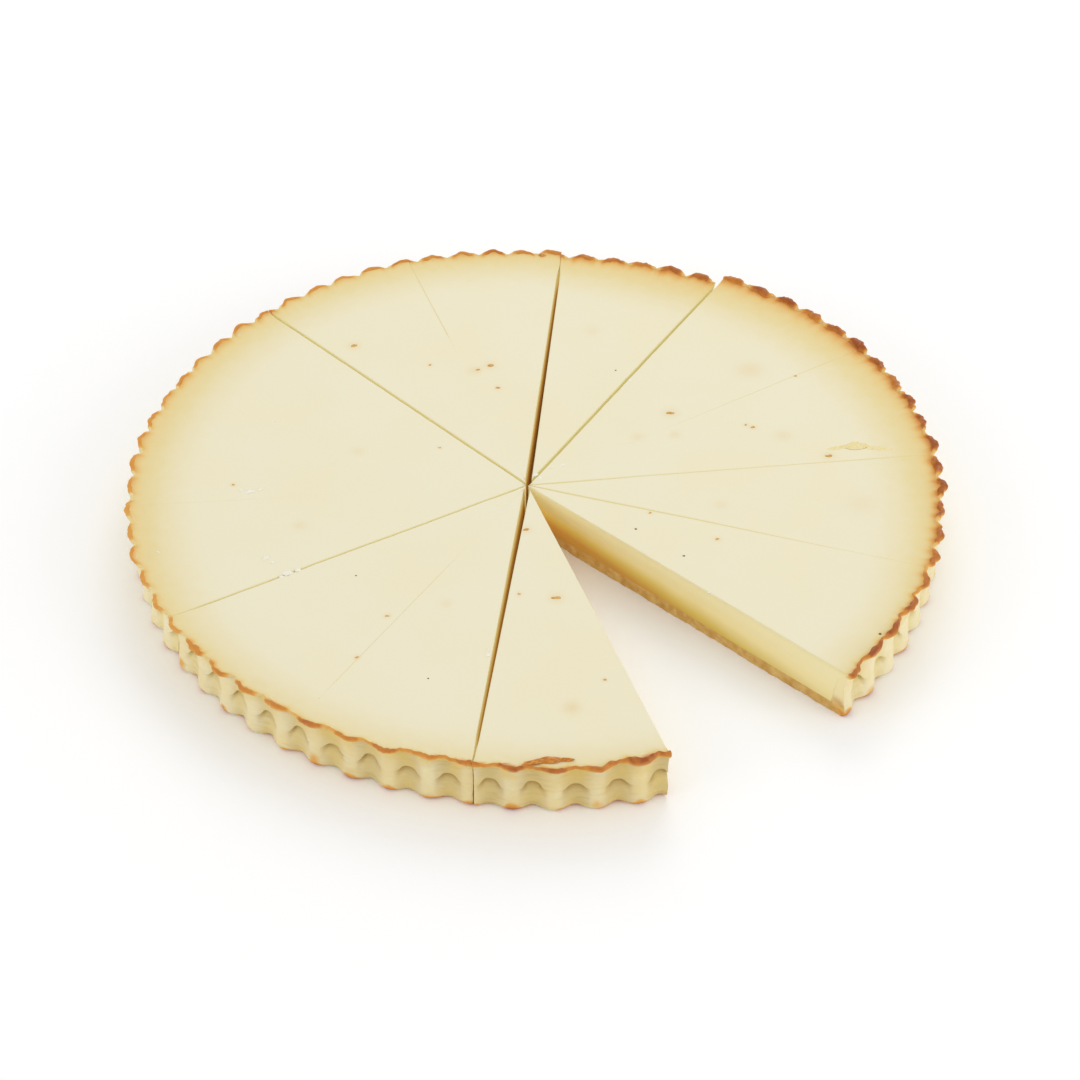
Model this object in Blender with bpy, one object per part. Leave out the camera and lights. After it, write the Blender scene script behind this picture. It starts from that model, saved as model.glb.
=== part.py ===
"""Ricotta cake: a low fluted tart, cut into portions, with one portion taken out.

Each portion is two solids. The pastry is a thin base that turns up into a fluted
wall with a flared, browned rim. The filling is the slab of baked ricotta cream that
lies in it. The portions stand together as one round cake, with the narrow gaps of
the knife between them and one wedge of empty space at the front.

Metres, +Z up. The origin is the middle of the cake's footprint, on the table.
"""
import math

import bmesh
import bpy
import numpy as np

MM = 0.001

# The whole cake
RIM_RADIUS = 139.0 * MM      # mean radius of the browned rim
RIM_HEIGHT = 20.7 * MM       # mean height of the rim above the table
BASE_THICKNESS = 4.3 * MM    # pastry under the filling
FILLING_HEIGHT = 19.4 * MM   # top of the filling above the table
LAYER_GAP = 0.3 * MM         # room between the filling and its pastry
CENTRE_SHIFT = (-0.36 * MM, 1.74 * MM)   # moves the middle of the cake's box onto the origin

# The knife: every cut runs out from one point, a little off the cake's centre
CUT_CENTRE = (-3.1 * MM, -0.4 * MM)
CLOSED = 0.3 * MM            # a cut that has closed up again
# Each cut's direction in degrees, its gap at the middle and its gap at the rim
CUTS = (
    (-43.5, 0.0, 0.0),
    (-18.5, CLOSED, CLOSED),
    (6.4, CLOSED, CLOSED),
    (32.6, CLOSED, CLOSED),
    (59.2, 1.0 * MM, 0.9 * MM),
    (84.7, 2.2 * MM, 1.0 * MM),
    (108.6, CLOSED, CLOSED),
    (133.2, 0.8 * MM, 0.8 * MM),
    (159.4, CLOSED, CLOSED),
    (184.4, CLOSED, CLOSED),
    (210.2, 0.6 * MM, 0.6 * MM),
    (238.3, CLOSED, CLOSED),
    (262.9, 2.2 * MM, 1.0 * MM),
    (288.4, 0.0, 0.0),
)
# How far each portion's rim stands out from RIM_RADIUS at its two cuts, in mm
RIM_STANDS_OUT = (
    (0.5, -0.7), (-0.7, 0.1), (0.7, 1.5), (1.2, 1.0), (-3.8, -4.6), (-2.9, 0.1),
    (0.4, 0.4), (0.4, -0.3), (-0.3, -0.4), (-0.4, -0.6), (-0.8, -0.8), (-0.8, -0.6), (0.2, 1.8),
)

# The flutes pressed by the tin: five to a portion, a little closer at the back
FLUTES = 70
FLUTE_PHASE = 0.080          # angle of the first crest
FLUTE_DRIFT = 0.074          # how much closer they stand at the back than at the sides
COLUMNS_PER_FLUTE = 6
END_CLEAR = 0.5              # least share of a column between the last one and a cut face
ROUND_SHARE = 0.6            # the rest of the wave has round crests and sharp notches

# The pastry wall from its foot to its rim: height, how far it stands in from the rim's
# radius, and half the depth of its flutes. The flutes step in below the middle.
WALL_ROWS = (
    (0.0 * MM, 3.9 * MM, 1.2 * MM),
    (1.2 * MM, 2.2 * MM, 1.5 * MM),
    (10.6 * MM, 3.7 * MM, 1.6 * MM),
    (12.4 * MM, 3.3 * MM, 0.9 * MM),
    (17.0 * MM, 2.4 * MM, 1.1 * MM),
)
TIP_DEPTH = 1.6 * MM         # half the depth of the flutes at the rim
TIP_THICKNESS = 1.3 * MM     # the rim's edge
TIP_SLOPE = 0.4 * MM         # the inner side of the edge lies this much lower
TIP_LIFT = 0.5 * MM          # crests stand this much over the mean height
TIP_UNEVEN = 0.6 * MM        # seeded rise or fall and reach of each crest
INNER_FOOT_INSET = 7.3 * MM  # inner face of the wall where it leaves the base
INNER_TOP_INSET = 5.2 * MM   # and where the rim starts to flare
INNER_TOP_HEIGHT = 15.4 * MM
UNEVEN_SEED = 11

PASTRY_COLOUR = (0.62, 0.42, 0.16, 1.0)
FILLING_COLOUR = (0.84, 0.78, 0.57, 1.0)


def clear_scene():
    """Removes what the file opened with."""
    for thing in list(bpy.data.objects):
        bpy.data.objects.remove(thing, do_unlink=True)


def principled(name, colour, roughness):
    """A dielectric Principled material of one colour and roughness."""
    material = bpy.data.materials.new(name)
    material.use_nodes = True
    shader = material.node_tree.nodes["Principled BSDF"]
    shader.inputs["Base Color"].default_value = colour
    shader.inputs["Roughness"].default_value = roughness
    shader.inputs["Metallic"].default_value = 0.0
    material.diffuse_color = colour
    return material


def pastry_material():
    """Shortcrust, baked to a pale gold."""
    return principled("shortcrust", PASTRY_COLOUR, 0.8)


def filling_material():
    """Smooth baked ricotta cream."""
    return principled("ricotta_cream", FILLING_COLOUR, 0.55)


def unit(angle):
    """The unit vector at an angle in the plane of the table."""
    return np.array([math.cos(angle), math.sin(angle)])


def flute_count_at(angle):
    """How many flutes lie between the first crest and an angle; whole numbers are crests."""
    return FLUTES * (angle - FLUTE_DRIFT * np.cos(angle) - FLUTE_PHASE) / (2 * math.pi)


def angle_at(flute_count):
    """The angle with a given flute count, by repeated substitution."""
    straight = 2 * math.pi * flute_count / FLUTES + FLUTE_PHASE
    angle = straight
    for _ in range(20):
        angle = straight + FLUTE_DRIFT * np.cos(angle)
    return angle


def flute_wave(flute_count):
    """The flutes' outline, from -1 in a notch to 1 on a crest."""
    round_wave = np.cos(2 * math.pi * flute_count)
    notched_wave = 2 * np.abs(np.cos(math.pi * flute_count)) - 1
    return ROUND_SHARE * round_wave + (1 - ROUND_SHARE) * notched_wave


def uneven(flute_count):
    """Two seeded numbers from -1 to 1 for the crest nearest to each flute count."""
    table = np.random.default_rng(UNEVEN_SEED).uniform(-1, 1, (2, FLUTES))
    return table[:, np.round(flute_count).astype(int) % FLUTES]


def cut_face(cut, side):
    """A point on one face of a cut and the face's direction; side is +1 or -1 across the cut."""
    angle = math.radians(cut[0])
    middle_gap, rim_gap = cut[1], cut[2]
    across = unit(angle + math.pi / 2)
    point = np.array(CUT_CENTRE) + across * side * middle_gap / 2
    return point, angle + side * (rim_gap - middle_gap) / (2 * RIM_RADIUS)


def tip_of(first_face, last_face):
    """Where the two cut faces of a portion meet."""
    point_a, angle_a = first_face
    point_b, angle_b = last_face
    sides = np.column_stack((unit(angle_a), -unit(angle_b)))
    distance = np.linalg.solve(sides, point_b - point_a)[0]
    return point_a + distance * unit(angle_a)


def distance_to_circle(tip, direction, radius):
    """How far a level ray from the tip runs until it is a radius from the cake's centre."""
    along = direction @ tip
    return -along + np.sqrt(along**2 - tip @ tip + radius**2)


def rim_angle(tip, angle):
    """The angle about the cake's centre where a ray from the tip meets the rim."""
    direction = unit(angle)
    end = tip + direction * distance_to_circle(tip, direction, RIM_RADIUS)
    return math.atan2(end[1], end[0]) % (2 * math.pi)


class Portion:
    """One portion: its tip, and a fan of upright columns that reach the wall."""

    def __init__(self, number):
        first = cut_face(CUTS[number], 1)
        last = cut_face(CUTS[number + 1], -1)
        self.tip = tip_of(first, last)
        start = rim_angle(self.tip, first[1])
        end = start + (rim_angle(self.tip, last[1]) - start) % (2 * math.pi)
        first_count, last_count = flute_count_at(start), flute_count_at(end)
        steps = np.arange(math.ceil(first_count * COLUMNS_PER_FLUTE + END_CLEAR),
                          math.floor(last_count * COLUMNS_PER_FLUTE - END_CLEAR) + 1)
        inner = steps / COLUMNS_PER_FLUTE
        self.count = np.concatenate(([first_count], inner, [last_count]))
        angles = np.concatenate(([start], angle_at(inner), [end]))
        ends = RIM_RADIUS * np.column_stack((np.cos(angles), np.sin(angles))) - self.tip
        self.direction = ends / np.linalg.norm(ends, axis=1)[:, None]
        share = (angles - start) / (end - start)
        low, high = RIM_STANDS_OUT[number]
        self.stands_out = MM * (low + (high - low) * share)
        self.wave = flute_wave(self.count)
        self.crest = (1 + self.wave) / 2

    def row(self, height, inset, depth=0.0, reach=0.0):
        """A row of points round the wall, in the portion's own place, one for each column."""
        radius = RIM_RADIUS + self.stands_out - inset + depth * self.wave + reach
        distance = distance_to_circle(self.tip, self.direction, radius)
        flat = self.direction * distance[:, None]
        return np.column_stack((flat, np.broadcast_to(height, len(flat))))

    def rim_rows(self):
        """The outer and inner line of the rim's uneven edge."""
        rise, reach = uneven(self.count) * TIP_UNEVEN * self.crest
        height = RIM_HEIGHT + TIP_LIFT * self.wave + rise
        outer = self.row(height, 0.0, TIP_DEPTH, reach)
        inner = self.row(height - TIP_SLOPE, TIP_THICKNESS, TIP_DEPTH, reach)
        return outer, inner


def zip_triangles(one, other):
    """Triangles between two chains of points that start side by side and rise together.

    Each step moves on along the chain whose next point is lower.
    """
    at_one, at_other = 0, 0
    triangles = []
    while at_one + 1 < len(one) or at_other + 1 < len(other):
        ends = one[at_one], other[at_other]
        if at_other + 1 == len(other):
            move_one = True
        elif at_one + 1 == len(one):
            move_one = False
        else:
            move_one = one[at_one + 1].co.z <= other[at_other + 1].co.z
        if move_one:
            at_one += 1
            triangles.append((ends[0], one[at_one], ends[1]))
        else:
            at_other += 1
            triangles.append((ends[0], other[at_other], ends[1]))
    return triangles


def wedge_mesh(name, outer, inner, foot, top):
    """A closed wedge from rows of points that rise up its outer side and its inner one.

    The outer rows start a fan from the foot of the tip's upright edge, and the lowest
    inner row, or the last outer one, ends in a fan to the top of that edge. Each square
    is split from its lower first corner to its upper second one, so that faces side by
    side match. The first and last points of the rows outline the flat cut faces.
    """
    mesh = bmesh.new()
    low = mesh.verts.new((0.0, 0.0, foot))
    high = mesh.verts.new((0.0, 0.0, top))
    outer = [[mesh.verts.new(point) for point in row] for row in outer]
    inner = [[mesh.verts.new(point) for point in row] for row in inner]
    grid = outer + inner[::-1]
    for column in range(len(grid[0]) - 1):
        mesh.faces.new((low, grid[0][column + 1], grid[0][column]))
        for near, far in zip(grid, grid[1:]):
            corners = (near[column], near[column + 1], far[column + 1], far[column])
            start = 0 if corners[3].co.z > corners[0].co.z else 1
            for second, third in ((1, 2), (2, 3)):
                mesh.faces.new([corners[(start + step) % 4] for step in (0, second, third)])
        mesh.faces.new((high, grid[-1][column], grid[-1][column + 1]))
    for end, turn in ((0, 1), (-1, -1)):
        tip_side = [low, high] + [row[end] for row in inner]
        for triangle in zip_triangles([row[end] for row in outer], tip_side):
            mesh.faces.new(triangle[::turn])
    data = bpy.data.meshes.new(name)
    mesh.to_mesh(data)
    mesh.free()
    return data


def pastry_mesh(portion, name):
    """Base and wall in one piece, with the fluted face outside and a plain one inside."""
    outer = [portion.row(height, inset, depth) for height, inset, depth in WALL_ROWS]
    rim_outer, rim_inner = portion.rim_rows()
    inner = [portion.row(BASE_THICKNESS, INNER_FOOT_INSET),
             portion.row(INNER_TOP_HEIGHT, INNER_TOP_INSET),
             rim_inner]
    return wedge_mesh(name, outer + [rim_outer], inner, 0.0, BASE_THICKNESS)


def filling_mesh(portion, name):
    """The slab that fills the pastry, a layer gap clear of its base and wall all round."""
    rim_inner = portion.rim_rows()[1]
    shoulder = portion.row(INNER_TOP_HEIGHT, INNER_TOP_INSET)
    share = (FILLING_HEIGHT - shoulder[:, 2:]) / (rim_inner[:, 2:] - shoulder[:, 2:])
    beside_rim = shoulder + (rim_inner - shoulder) * share
    pull_in = np.column_stack((portion.direction, np.zeros(len(share)))) * 2 * LAYER_GAP
    rows = [portion.row(BASE_THICKNESS + LAYER_GAP, INNER_FOOT_INSET + LAYER_GAP),
            portion.row(INNER_TOP_HEIGHT, INNER_TOP_INSET + LAYER_GAP),
            beside_rim - pull_in]
    return wedge_mesh(name, rows, [], BASE_THICKNESS + LAYER_GAP, FILLING_HEIGHT)


def place(mesh, portion, material):
    """An object for a piece of a portion, with its origin at the portion's tip."""
    mesh.materials.append(material)
    mesh.shade_smooth()
    mesh.set_sharp_from_angle(angle=math.radians(50))
    piece = bpy.data.objects.new(mesh.name, mesh)
    piece.location = (portion.tip[0] + CENTRE_SHIFT[0], portion.tip[1] + CENTRE_SHIFT[1], 0.0)
    bpy.context.scene.collection.objects.link(piece)
    return piece


def main():
    clear_scene()
    shortcrust = pastry_material()
    cream = filling_material()
    for number in range(len(CUTS) - 1):
        portion = Portion(number)
        label = f"{number + 1:02d}"
        place(pastry_mesh(portion, f"pastry_{label}"), portion, shortcrust)
        place(filling_mesh(portion, f"filling_{label}"), portion, cream)


main()
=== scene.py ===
# %% [markdown]
# # Ricotta cake, cut into portions
#
# A low tart: a crisp shortcrust shell with a fluted wall, filled with baked ricotta cream.
# The knife has cut it into thirteen portions, and an open wedge shows the inside. The CAD
# gives every portion two plain solids, its pastry and its filling. This lesson dresses
# them: first come the light and the camera, then the shapes, and then the finishes.

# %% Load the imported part
import math

import bpy
import numpy as np
from mathutils import Euler, Matrix, Vector


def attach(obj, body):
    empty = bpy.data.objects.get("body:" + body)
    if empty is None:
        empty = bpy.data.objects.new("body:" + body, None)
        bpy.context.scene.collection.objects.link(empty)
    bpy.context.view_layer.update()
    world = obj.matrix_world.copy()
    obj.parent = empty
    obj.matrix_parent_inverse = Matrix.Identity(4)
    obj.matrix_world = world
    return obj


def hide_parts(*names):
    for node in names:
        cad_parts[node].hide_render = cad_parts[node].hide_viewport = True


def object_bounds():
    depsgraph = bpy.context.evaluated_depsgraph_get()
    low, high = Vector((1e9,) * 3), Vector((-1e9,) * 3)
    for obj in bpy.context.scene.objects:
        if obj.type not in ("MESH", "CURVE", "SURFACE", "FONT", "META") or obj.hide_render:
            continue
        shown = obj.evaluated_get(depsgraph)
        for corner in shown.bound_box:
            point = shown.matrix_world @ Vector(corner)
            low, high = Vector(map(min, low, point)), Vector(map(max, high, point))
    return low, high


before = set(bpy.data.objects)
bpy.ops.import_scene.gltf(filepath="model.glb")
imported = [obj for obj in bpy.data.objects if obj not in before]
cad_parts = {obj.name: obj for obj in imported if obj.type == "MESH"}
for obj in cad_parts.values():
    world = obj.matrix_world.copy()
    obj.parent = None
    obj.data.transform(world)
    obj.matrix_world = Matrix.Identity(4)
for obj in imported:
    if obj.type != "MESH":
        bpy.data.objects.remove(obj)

cad_box = [list(corner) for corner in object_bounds()]
print("CAD nodes:", len(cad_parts))

# %% [markdown]
# ## The camera
#
# The cake is seen from a little over 40 degrees, through a long lens from about a metre
# away, so the round rim becomes a calm ellipse. Such a camera can be aimed by hand, but
# here it follows from a few numbers: where it aims, how far off it stands, how high, and
# how much it leans. They come from fitting a round rim and its cuts to the picture.

# %% Camera
MM = 0.001
AIM = Vector((0.71 * MM, -4.99 * MM, 0.0))
CAMERA_DISTANCE = 1.0638
CAMERA_HEIGHT = math.radians(40.086)
CAMERA_LEAN = math.radians(-0.24)
LENS = 103.1
FILM_WIDTH = 36.0
NEAR_AND_FAR = (0.05, 20.0)

camera_data = bpy.data.cameras.new("camera")
camera_data.lens = LENS
camera_data.sensor_width = FILM_WIDTH
camera_data.clip_start, camera_data.clip_end = NEAR_AND_FAR
camera = bpy.data.objects.new("camera", camera_data)
looks_along = Vector((0.0, math.cos(CAMERA_HEIGHT), -math.sin(CAMERA_HEIGHT)))
tilt = Euler((math.pi / 2 - CAMERA_HEIGHT, 0.0, 0.0)).to_matrix()
turn = tilt @ Matrix.Rotation(CAMERA_LEAN, 3, "Z")
camera.matrix_world = Matrix.Translation(AIM - CAMERA_DISTANCE * looks_along) @ turn.to_4x4()
bpy.context.scene.collection.objects.link(camera)
bpy.context.scene.camera = camera
print("camera stands", round(CAMERA_DISTANCE, 2), "m off")

# %% [markdown]
# ## Studio light and floor
#
# A product shot on white: light comes from all round, so shadows are wide and weak. A
# large soft lamp above and behind lifts the top face, and one at each side lights the
# wall. A white world gives the first, and square area lamps give the rest. Colours are
# shown without a film look, so that a pale cream stays the cream that was asked for.

# %% World, lamps and floor
WORLD_STRENGTH = 0.80
LAMP_SIZE = 0.7
LAMPS = (
    ("lamp_over", (0.10, 0.90, 0.80), 2.85),
    ("lamp_left", (-0.95, -0.5, 0.42), 2.2),
    ("lamp_right", (0.95, -0.5, 0.42), 3.0),
)
FLOOR_HALF = 3.0

scene = bpy.context.scene
scene.view_settings.view_transform = "Standard"
scene.view_settings.look = "None"
scene.world = bpy.data.worlds.new("studio")
scene.world.use_nodes = True
backdrop = scene.world.node_tree.nodes["Background"]
backdrop.inputs["Color"].default_value = (1.0, 1.0, 1.0, 1.0)
backdrop.inputs["Strength"].default_value = WORLD_STRENGTH


def soft_lamp(name, place, power):
    """A square lamp at a place in metres, facing the middle of the cake."""
    data = bpy.data.lights.new(name, "AREA")
    data.size = LAMP_SIZE
    data.energy = power
    lamp = bpy.data.objects.new(name, data)
    facing = (-Vector(place)).to_track_quat("-Z", "Y").to_matrix().to_4x4()
    lamp.matrix_world = Matrix.Translation(place) @ facing
    scene.collection.objects.link(lamp)


for name, place, power in LAMPS:
    soft_lamp(name, place, power)

floor_mesh = bpy.data.meshes.new("floor")
floor_corners = [(x * FLOOR_HALF, y * FLOOR_HALF, 0) for x, y in ((-1, -1), (1, -1), (1, 1), (-1, 1))]
floor_mesh.from_pydata(floor_corners, [], [(0, 1, 2, 3)])
floor = bpy.data.objects.new("floor", floor_mesh)
scene.collection.objects.link(floor)
print("lamps:", len(LAMPS), "floor:", 2 * FLOOR_HALF, "m wide")

# %% [markdown]
# ## Flutes and unevenness
#
# The tin presses seventy flutes into the wall. Their outline is a wave with round crests
# and sharper notches, and they stand a little closer at the back. Baked dough is never
# regular, so each crest also has its own seeded amounts. For crumbs and dents a sum of
# waves in seeded directions is enough: it needs no picture, and it is the same each time
# the script runs. Every such use has a seed of its own, kept under its name.

# %% Flutes
FLUTES = 70
FLUTE_PHASE = 0.080
FLUTE_DRIFT = 0.074
WAVES = 14
SEED = {
    "crest": 11, "tone": 21, "spot width": 22, "swells": 31, "ripples": 32, "ledge": 41, "fold": 42,
    "ragged": 43, "curl": 44, "spot": 45, "lean": 46, "lobe": 47, "layers": 48, "ledge line": 49,
    "fold line": 50, "coarse crumb": 51, "fine crumb": 52, "thickness": 53, "foot line": 54,
    "spot height": 55, "foot": 56, "brown_flecks": 61, "white_bits": 62, "dark_dots": 63,
    "yellow_curls": 64, "brown_curls": 65,
}


def unit(angle):
    """The level unit vectors at some angles."""
    return np.stack((np.cos(angle), np.sin(angle)), axis=-1)


def flute_count_at(angle):
    """How many flutes lie before an angle, less the drift that crowds them at the back."""
    return FLUTES * (angle - FLUTE_DRIFT * np.cos(angle) - FLUTE_PHASE) / math.tau


def flute_wave(count):
    """Six parts of a cosine and four of a folded cosine, from -1 in a notch to 1 on a crest."""
    return 0.6 * np.cos(math.tau * count) + 0.4 * (2 * np.abs(np.cos(math.pi * count)) - 1)


def rough(what, points, size):
    """Uneven values of about -1 to 1: a sum of plane waves about `size` long, in seeded directions."""
    rng = np.random.default_rng(SEED[what])
    along = rng.normal(size=(3, WAVES))
    along /= np.linalg.norm(along, axis=0) * size * rng.uniform(0.6, 1.7, WAVES)
    turns = points @ along + rng.uniform(0, 1, WAVES)
    return np.sin(math.tau * turns).sum(axis=-1) / math.sqrt(WAVES)


def smooth(low, high, value):
    """Zero below low, one above high, and a smooth step between."""
    share = np.clip((value - low) / (high - low), 0, 1)
    return share * share * (3 - 2 * share)


print("flutes:", FLUTES)

# %% [markdown]
# ## One portion's plan
#
# These are the sizes that the CAD was made from, so that the dressed pieces land on the
# solids with no fitting. Every cut runs from a point near the middle, in a direction, and
# has a gap at the middle and one at the rim: a cut that has closed up again has 0.3 mm.
# A portion's tip is where its two cut faces meet, and everything in it is measured along
# level rays from that tip. That makes the flat cut faces exactly the first and the last
# ray, which is why rays are used and not circles. Each ray knows where it meets the rim.

# %% Sizes of the plan
RIM_RADIUS = 139.0 * MM
CENTRE_SHIFT = np.array([-0.36 * MM, 1.74 * MM, 0.0])
CUT_CENTRE = np.array([-3.1 * MM, -0.4 * MM])
CLOSED = 0.3 * MM
CUTS = (
    (-43.5, 0.0, 0.0), (-18.5, CLOSED, CLOSED), (6.4, CLOSED, CLOSED), (32.6, CLOSED, CLOSED),
    (59.2, 1.0 * MM, 0.9 * MM), (84.7, 2.2 * MM, 1.0 * MM), (108.6, CLOSED, CLOSED),
    (133.2, 0.8 * MM, 0.8 * MM), (159.4, CLOSED, CLOSED), (184.4, CLOSED, CLOSED),
    (210.2, 0.6 * MM, 0.6 * MM), (238.3, CLOSED, CLOSED), (262.9, 2.2 * MM, 1.0 * MM),
    (288.4, 0.0, 0.0),
)
# How far each portion's rim stands out, in mm, at its first cut and at its last.
RIM_STANDS_OUT = (
    (0.5, -0.7), (-0.7, 0.1), (0.7, 1.5), (1.2, 1.0), (-3.8, -4.6), (-2.9, 0.1),
    (0.4, 0.4), (0.4, -0.3), (-0.3, -0.4), (-0.4, -0.6), (-0.8, -0.8), (-0.8, -0.6), (0.2, 1.8),
)
TIP_UNEVEN = 0.6 * MM
LAST_CUT = len(CUTS) - 1
print("portions:", LAST_CUT)


# %% Rays from a portion's tip
def cut_face(cut, side):
    """A point on one face of a cut and the face's direction; side is +1 or -1 across the cut."""
    angle = math.radians(cut[0])
    point = CUT_CENTRE + unit(angle + math.pi / 2) * side * cut[1] / 2
    return point, angle + side * (cut[2] - cut[1]) / (2 * RIM_RADIUS)


class Rays:
    """Level rays from a portion's tip, in any array of directions, and the rim where they meet it."""

    def __init__(self, number, share):
        """share runs from 0 on the first cut face to 1 on the last one."""
        point, self.first = cut_face(CUTS[number], 1)
        other, self.last = cut_face(CUTS[number + 1], -1)
        sides = np.column_stack((unit(self.first), -unit(self.last)))
        self.tip = point + np.linalg.solve(sides, other - point)[0] * unit(self.first)
        self.number = number
        self.turn(self.first + (self.last - self.first) * np.asarray(share, float))

    def turn(self, direction):
        """Points the rays in new directions and finds the rim's shape at their ends."""
        self.along = unit(direction)
        start, end, here = (self.rim_angle(d) for d in (self.first, self.last, direction))
        span = (end - start) % math.tau
        middle = start + span / 2
        share = 0.5 + ((here - middle + math.pi) % math.tau - math.pi) / span
        low, high = RIM_STANDS_OUT[self.number]
        self.stands_out = MM * (low + (high - low) * share)
        self.angle = here
        self.count = flute_count_at(here)
        self.wave = flute_wave(self.count)
        self.crest = (1 + self.wave) / 2
        table = np.random.default_rng(SEED["crest"]).uniform(-1, 1, (2, FLUTES))
        self.rise, self.reach = table[:, self.nearest(0)] * TIP_UNEVEN * self.crest

    def run(self, along, radius):
        """How far a ray runs until it is a radius from the cake's centre."""
        middle = along @ self.tip
        return -middle + np.sqrt(middle**2 - self.tip @ self.tip + radius**2)

    def rim_angle(self, direction):
        """The angle about the cake's centre where a ray meets the mean rim."""
        along = unit(direction)
        end = self.tip + along * self.run(along, RIM_RADIUS)[..., None]
        return np.arctan2(end[..., 1], end[..., 0])

    def length(self, offset):
        """How far each ray runs to a ring that stands an offset out from the portion's own rim."""
        return self.run(self.along, RIM_RADIUS + self.stands_out + offset)

    def points(self, distance, height):
        """Points at some distances along the rays and at some heights, in the part's place."""
        level = self.tip + self.along * distance[..., None]
        height = np.broadcast_to(height, distance.shape)[..., None]
        return np.concatenate((level, height), axis=-1) + CENTRE_SHIFT

    def nearest(self, shift):
        """The number of the crest nearest to each ray, or of the recess where shift is a half."""
        return np.round(self.count + shift).astype(int) % FLUTES

    def each(self, what, low, high, shift=0):
        """A seeded number between two limits, the same for all rays of one crest or recess."""
        return np.random.default_rng(SEED[what]).uniform(low, high, FLUTES)[self.nearest(shift)]

    def side(self, table):
        """A value read from a table of degrees round the cake."""
        degrees, values = zip(*table)
        return np.interp(np.degrees(self.angle) % 360, degrees, values)

    def rim(self):
        """Points on the mean rim."""
        return RIM_RADIUS * np.append(unit(self.angle), np.zeros(self.angle.shape + (1,)), axis=-1)

    def rough(self, what, size):
        """Unevenness along the rim, alike over the whole height."""
        return rough(what, self.rim(), size)


print("first tip, mm:", np.round(Rays(0, 0.0).tip / MM, 2))

# %% [markdown]
# ## From grids to a closed piece
#
# Each piece is made of patches, and a patch is a grid of points worked out in one go.
# Neighbouring patches share the points along their seam. Welding then makes them one
# closed skin: equal points become one vertex, and a square that has lost a corner at a
# tip becomes a triangle. This is done on whole arrays, so no vertex is visited alone.

# %% Skin: patches, welded
WELD = 1e-7


class Skin:
    """A closed surface gathered from patches of points, each with its painted values."""

    def __init__(self, *paints):
        self.paints = paints
        self.points, self.values, self.faces, self.size = [], [], [], 0

    def take(self, points, paint):
        """Keeps some points and their painted values, and gives the number of the first."""
        start = self.size
        values = np.zeros((points[..., 0].size, len(self.paints)))
        for at, name in enumerate(self.paints):
            values[:, at] = np.broadcast_to(paint.get(name, 0.0), points.shape[:-1]).ravel()
        self.points.append(points.reshape(-1, 3))
        self.values.append(values)
        self.size += len(values)
        return start

    def grid(self, points, flip=False, closed=False, **paint):
        """Squares between each row of points and the next; closed joins the last column to the first."""
        rows, columns = points.shape[:2]
        index = self.take(points, paint) + np.arange(rows * columns).reshape(rows, columns)
        if closed:
            index = np.concatenate((index, index[:, :1]), axis=1)
        squares = np.stack((index[:-1, :-1], index[:-1, 1:], index[1:, 1:], index[1:, :-1]), axis=-1)
        squares = squares.reshape(-1, 4)
        self.faces.append(squares[:, ::-1] if flip else squares)

    def fan(self, centre, ring, flip=False, **paint):
        """Triangles from one point to each pair of neighbours in a ring of points."""
        start = self.take(np.concatenate((centre[None], ring)), paint)
        index = start + 1 + np.arange(len(ring))
        after = np.roll(index, -1)
        fan = np.stack((np.full(len(ring), start), index, after, after), axis=-1)
        self.faces.append(fan[:, [0, 2, 1, 1]] if flip else fan)

    def weld(self):
        """Equal points, to a tenth of a micrometre, become one; faces lose their doubled corners."""
        points = np.concatenate(self.points)
        keys = np.round(points / WELD).astype(np.int64)
        _, first, same = np.unique(keys, axis=0, return_index=True, return_inverse=True)
        self.xyz = points[first]
        self.value = np.concatenate(self.values)[first]
        faces = same.reshape(-1)[np.concatenate(self.faces)]
        doubled = faces == np.roll(faces, -1, axis=1)
        squares = faces[doubled.sum(axis=1) == 0]
        triangles = faces[doubled.sum(axis=1) == 1]
        gone = doubled[doubled.sum(axis=1) == 1].argmax(axis=1)
        keep = (gone[:, None] + np.arange(1, 4)) % 4
        self.triangles = np.take_along_axis(triangles, keep, axis=1)
        self.squares = squares[(squares[:, 0] != squares[:, 2]) & (squares[:, 1] != squares[:, 3])]
        return self

    def build(self, name, material, sharp):
        """Puts the welded skin into a mesh, smooth but for edges over an angle in degrees."""
        mesh = bpy.data.meshes.new(name)
        mesh.vertices.add(len(self.xyz))
        mesh.vertices.foreach_set("co", self.xyz.astype(np.float32).ravel())
        corners = np.concatenate((self.squares.ravel(), self.triangles.ravel()))
        sizes = np.repeat((4, 3), (len(self.squares), len(self.triangles)))
        mesh.loops.add(len(corners))
        mesh.loops.foreach_set("vertex_index", corners.astype(np.int32))
        mesh.polygons.add(len(sizes))
        mesh.polygons.foreach_set("loop_start", (np.cumsum(sizes) - sizes).astype(np.int32))
        mesh.update(calc_edges=True)
        mesh.validate()
        for at, paint in enumerate(self.paints):
            layer = mesh.attributes.new(paint, "FLOAT", "POINT")
            layer.data.foreach_set("value", self.value[:, at].astype(np.float32))
        mesh.materials.append(material)
        mesh.shade_smooth()
        mesh.set_sharp_from_angle(angle=math.radians(sharp))
        piece = bpy.data.objects.new(name, mesh)
        scene.collection.objects.link(piece)
        return piece


def triangle_count(piece):
    """Triangles in a piece's mesh."""
    return sum(len(face.vertices) - 2 for face in piece.data.polygons)


print("points weld within", WELD, "m")

# %% [markdown]
# ## The lip of the rim
#
# Filling and crust meet at the lip, so its line comes first. It is a row of lobes, one
# for each flute, wide on the crest and narrow in the notch. No two lobes are alike: each
# leans, rises and reaches a little differently, and the dough between them is ragged.
# What changes round the cake is a table of degrees and values, counted from the right.

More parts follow.
